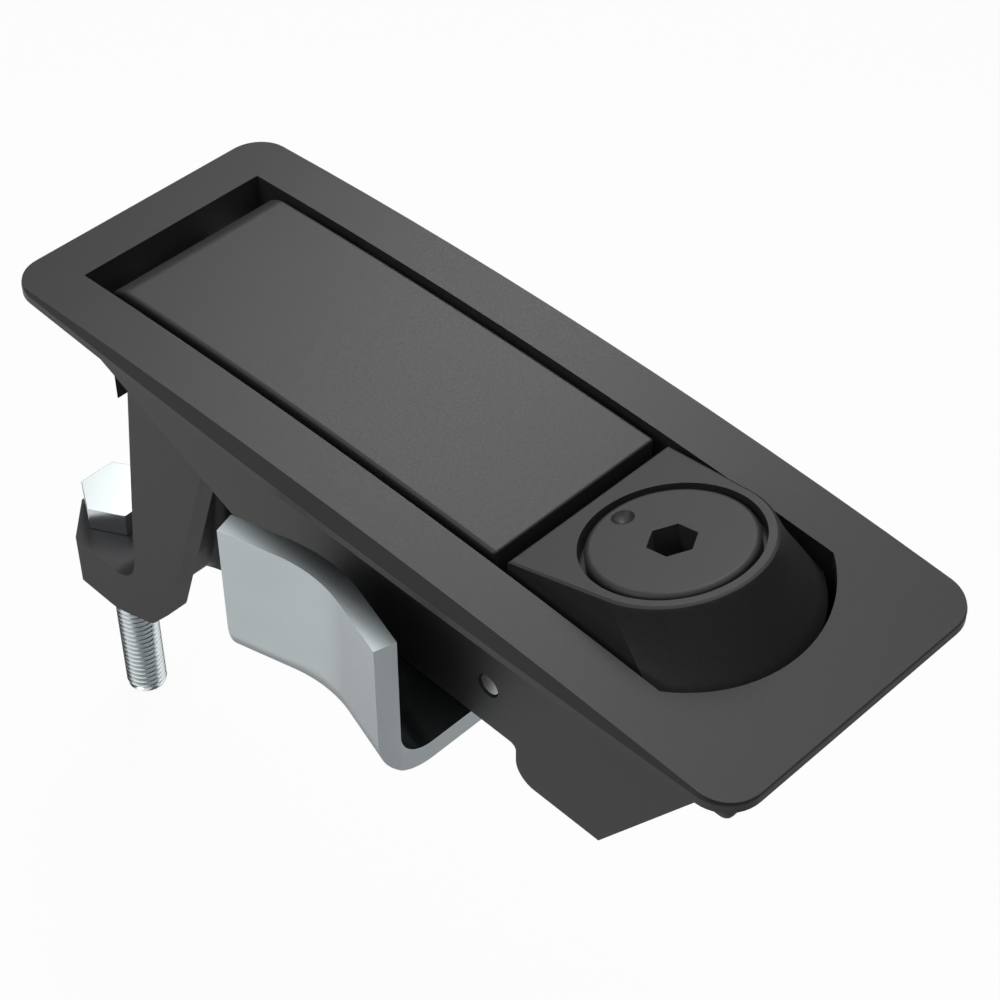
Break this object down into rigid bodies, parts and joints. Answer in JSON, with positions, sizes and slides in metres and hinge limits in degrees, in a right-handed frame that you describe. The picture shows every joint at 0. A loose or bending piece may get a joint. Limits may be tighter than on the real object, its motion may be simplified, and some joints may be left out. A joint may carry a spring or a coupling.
{
  "type": "lever compression latch",
  "caption": "Flush lever latch with a push-button lock, a hooked pawl with an adjusting bolt, and a clamping bracket for a panel cut-out.",
  "frame": {"origin": "middle of the panel cut-out, in the plane of the panel's face under the flange", "axes": "+X along the lever from the pawl to the push button, +Z out of the panel's face, +Y across the latch"},
  "size_m": [0.1755, 0.0676, 0.1412],
  "materials": {
    "powder_coat": "fine matt powder coat, near black",
    "black_casting": "satin black coated casting",
    "zinc_plate": "bright zinc plate, slightly blue",
    "steel": "bare bright steel",
    "seal_rubber": "matt black"
  },
  "bodies": {
    "housing": {"pan": "powder_coat", "handle_pin": "steel", "button_pin": "steel", "popup_spring": "steel", "button_spring": "steel", "mounting_bracket": "zinc_plate", "bracket_washer": "zinc_plate", "bracket_screw": "zinc_plate"},
    "lever": {"handle": "powder_coat", "pawl": "black_casting", "pawl_pin": "steel", "pawl_pin_clips": "steel"},
    "adjuster": {"adjusting_bolt": "zinc_plate"},
    "button": {"lock_button": "powder_coat"},
    "plug": {"lock_plug": "powder_coat", "plug_seal": "seal_rubber", "plug_circlip": "steel", "lock_cam": "steel", "cam_washer": "steel", "cam_screw": "steel"}
  },
  "joints": [
    {"name": "lever_lift", "type": "hinge", "parent": "housing", "child": "lever", "pos_m": [-0.054, 0, -0.006], "axis": [0, -1, 0], "range_deg": [0, 50]},
    {"name": "bolt_adjust", "type": "slide", "parent": "lever", "child": "adjuster", "axis": [0, 0, 1], "range_m": [0, 0.02]},
    {"name": "button_press", "type": "hinge", "parent": "housing", "child": "button", "pos_m": [0.0252, 0, -0.0185], "axis": [0, 1, 0], "range_deg": [0, 8], "stiffness_Nm_per_rad": 0.6, "springref_deg": -5.73, "deforming": ["button_spring"]},
    {"name": "plug_turn", "type": "hinge", "parent": "button", "child": "plug", "pos_m": [0.0408, 0, 0.0083], "axis": [-0.2284, 0, 0.9736], "range_deg": [-90, 0]}
  ]
}
